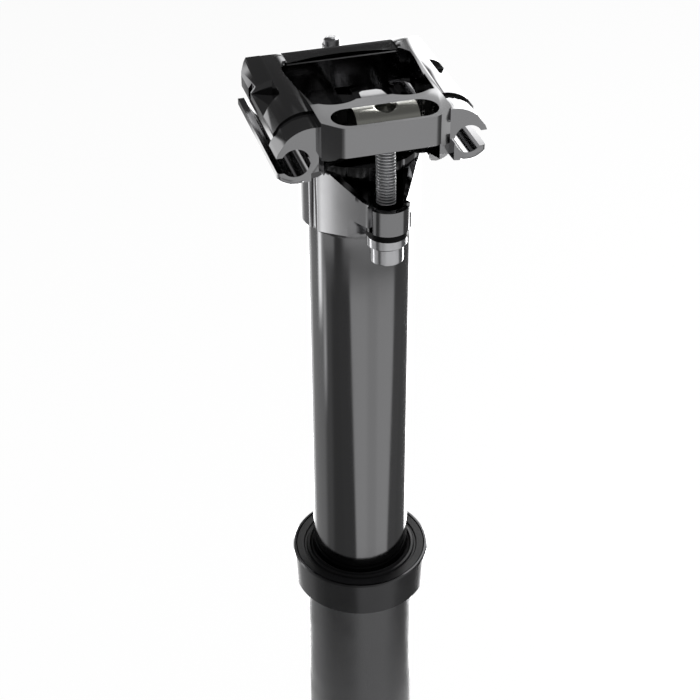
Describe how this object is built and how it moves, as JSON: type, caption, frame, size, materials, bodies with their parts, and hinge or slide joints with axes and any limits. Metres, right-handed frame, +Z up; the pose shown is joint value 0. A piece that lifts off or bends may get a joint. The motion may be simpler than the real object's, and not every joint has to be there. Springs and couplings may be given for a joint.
{
  "type": "dropper seatpost",
  "caption": "Height-adjustable bicycle seatpost: a sliding upper tube under a collar seal, gas cartridge inside, cable lever below and a tilting rail clamp with barrel nuts on top.",
  "frame": {"origin": "on the post's axis, in the lower face of the collar, which rests on the seat tube", "axes": "+Z up the post, -Y towards the near clamp bolt, +X to the right seen from that side"},
  "size_m": [0.0528, 0.0594, 0.3598],
  "materials": {
    "gloss_black": "gloss anodised black aluminium",
    "matte_black": "matte fine-textured black aluminium",
    "forged_black": "satin black forged aluminium",
    "plain_alu": "machined",
    "dark_alu": "dark anodised, satin",
    "nut_alu": "satin, machined",
    "bolt_steel": "zinc-plated steel",
    "shaft_steel": "ground and polished",
    "spring_steel": "drawn wire",
    "brass": "machined",
    "bushing": "lined bearing sleeve",
    "seal_rubber": "matte nitrile rubber",
    "washer_black": "smooth black",
    "foam": "oiled open-cell foam"
  },
  "bodies": {
    "lower_post": {"outer_tube": "matte_black", "collar": "matte_black", "wiper_seal": "seal_rubber", "foam_ring": "foam", "upper_bushing": "bushing", "bottom_plug": "dark_alu", "plug_seal": "seal_rubber", "cartridge_shaft": "shaft_steel", "shaft_nut": "plain_alu", "damper_piston": "brass", "piston_seal": "seal_rubber", "top_out_bumper": "seal_rubber", "actuator_bracket": "dark_alu", "pivot_pin": "shaft_steel", "return_spring": "spring_steel"},
    "actuator": {"actuator_lever": "plain_alu", "cable_barrel": "brass", "cable_grub_screw": "bolt_steel"},
    "valve_pin": {"actuator_pin": "shaft_steel", "valve_poppet": "plain_alu"},
    "upper_post": {"upper_tube": "gloss_black", "post_head": "forged_black", "guide_keys": "brass", "lower_bushing": "bushing", "cartridge_tube": "plain_alu", "cartridge_cap": "dark_alu", "seal_head": "dark_alu", "rod_seal": "seal_rubber", "cartridge_retainer": "plain_alu", "front_washer": "washer_black", "rear_washer": "washer_black"},
    "floating_piston_group": {"floating_piston": "brass", "floating_piston_ring": "seal_rubber"},
    "saddle_clamp": {"lower_cradle": "gloss_black", "upper_clamp": "gloss_black"},
    "front_bolt_group": {"front_bolt": "bolt_steel", "front_flange": "bolt_steel"},
    "front_nut": {"front_barrel_nut": "nut_alu"},
    "rear_bolt_group": {"rear_bolt": "bolt_steel", "rear_flange": "bolt_steel"},
    "rear_nut": {"rear_barrel_nut": "nut_alu"}
  },
  "joints": [
    {"name": "post_slide", "type": "slide", "parent": "lower_post", "child": "upper_post", "axis": [0, 0, 1], "range_m": [-0.1, 0], "stiffness_N_per_m": 1000, "springref_m": 0.25},
    {"name": "floating_piston_slide", "type": "slide", "parent": "upper_post", "child": "floating_piston_group", "axis": [0, 0, 1], "range_m": [0, 0.0155]},
    {"name": "clamp_tilt", "type": "hinge", "parent": "upper_post", "child": "saddle_clamp", "pos_m": [0, 0.0015, 0.169], "axis": [1, 0, 0], "range_deg": [-5, 5]},
    {"name": "front_bolt_lean", "type": "hinge", "parent": "upper_post", "child": "front_bolt_group", "pos_m": [0, -0.0239, 0.12156], "axis": [1, 0, 0], "range_deg": [-1.1, 1.1]},
    {"name": "front_nut_travel", "type": "slide", "parent": "front_bolt_group", "child": "front_nut", "axis": [0, 0.0623, 0.9981], "range_m": [-0.002, 0.002]},
    {"name": "rear_bolt_lean", "type": "hinge", "parent": "upper_post", "child": "rear_bolt_group", "pos_m": [0, 0.0239, 0.12156], "axis": [1, 0, 0], "range_deg": [-2.1, 2.1]},
    {"name": "rear_nut_travel", "type": "slide", "parent": "rear_bolt_group", "child": "rear_nut", "axis": [0, 0.0392, 0.9992], "range_m": [-0.0022, 0.0022]},
    {"name": "pin_lift", "type": "slide", "parent": "lower_post", "child": "valve_pin", "axis": [0, 0, 1], "range_m": [0, 0.0018], "stiffness_N_per_m": 800, "springref_m": -0.001, "deforming": ["return_spring"]},
    {"name": "lever_swing", "type": "hinge", "parent": "lower_post", "child": "actuator", "pos_m": [0, -0.005, -0.181], "axis": [1, 0, 0], "range_deg": [0, 21]}
  ],
  "couplings": [
    {"joint": "floating_piston_slide", "follows": "post_slide", "ratio": -0.15379},
    {"joint": "front_bolt_lean", "follows": "clamp_tilt", "ratio": -0.21968},
    {"joint": "front_nut_travel", "follows": "clamp_tilt", "m_per_rad": -0.022394},
    {"joint": "rear_bolt_lean", "follows": "clamp_tilt", "ratio": -0.40284},
    {"joint": "rear_nut_travel", "follows": "clamp_tilt", "m_per_rad": 0.024242},
    {"joint": "lever_swing", "follows": "pin_lift", "rad_per_m": 200}
  ]
}
